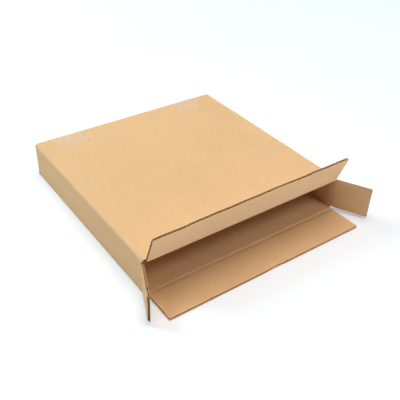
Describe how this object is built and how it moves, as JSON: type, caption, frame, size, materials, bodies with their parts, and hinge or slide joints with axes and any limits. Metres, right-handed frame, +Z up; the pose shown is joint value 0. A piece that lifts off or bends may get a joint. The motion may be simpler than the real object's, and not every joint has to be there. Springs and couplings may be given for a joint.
{
  "type": "flat cardboard box",
  "caption": "Shallow square corrugated carton, set up, with full-overlap flaps open at the front and a folded and taped back.",
  "frame": {"origin": "centre of the bottom panel's underside, halfway between its front crease and the back face", "axes": "+Z up, the open end towards -Y, +X to the right seen from the open end"},
  "size_m": [0.4593, 0.4614, 0.1209],
  "materials": {
    "board": "matte",
    "film": "gloss"
  },
  "bodies": {
    "carton": {"carton_body": "board", "left_tape": "film", "right_tape": "film"},
    "bottom_flap": {"bottom_flap": "board"},
    "top_flap": {"top_flap": "board"},
    "left_flap": {"left_flap": "board"},
    "right_flap": {"right_flap": "board"}
  },
  "joints": [
    {"name": "bottom_flap_fold", "type": "hinge", "parent": "carton", "child": "bottom_flap", "pos_m": [0, -0.2, 0.002], "axis": [-1, 0, 0], "range_deg": [-115, 90]},
    {"name": "top_flap_fold", "type": "hinge", "parent": "carton", "child": "top_flap", "pos_m": [0, -0.1957, 0.064], "axis": [-1, 0, 0], "range_deg": [-161, 44]},
    {"name": "left_flap_fold", "type": "hinge", "parent": "carton", "child": "left_flap", "pos_m": [-0.198, -0.1914, 0.033], "axis": [0, 0, 1], "range_deg": [-90, 115]},
    {"name": "right_flap_fold", "type": "hinge", "parent": "carton", "child": "right_flap", "pos_m": [0.198, -0.1914, 0.033], "axis": [0, 0, -1], "range_deg": [-88, 117]}
  ]
}
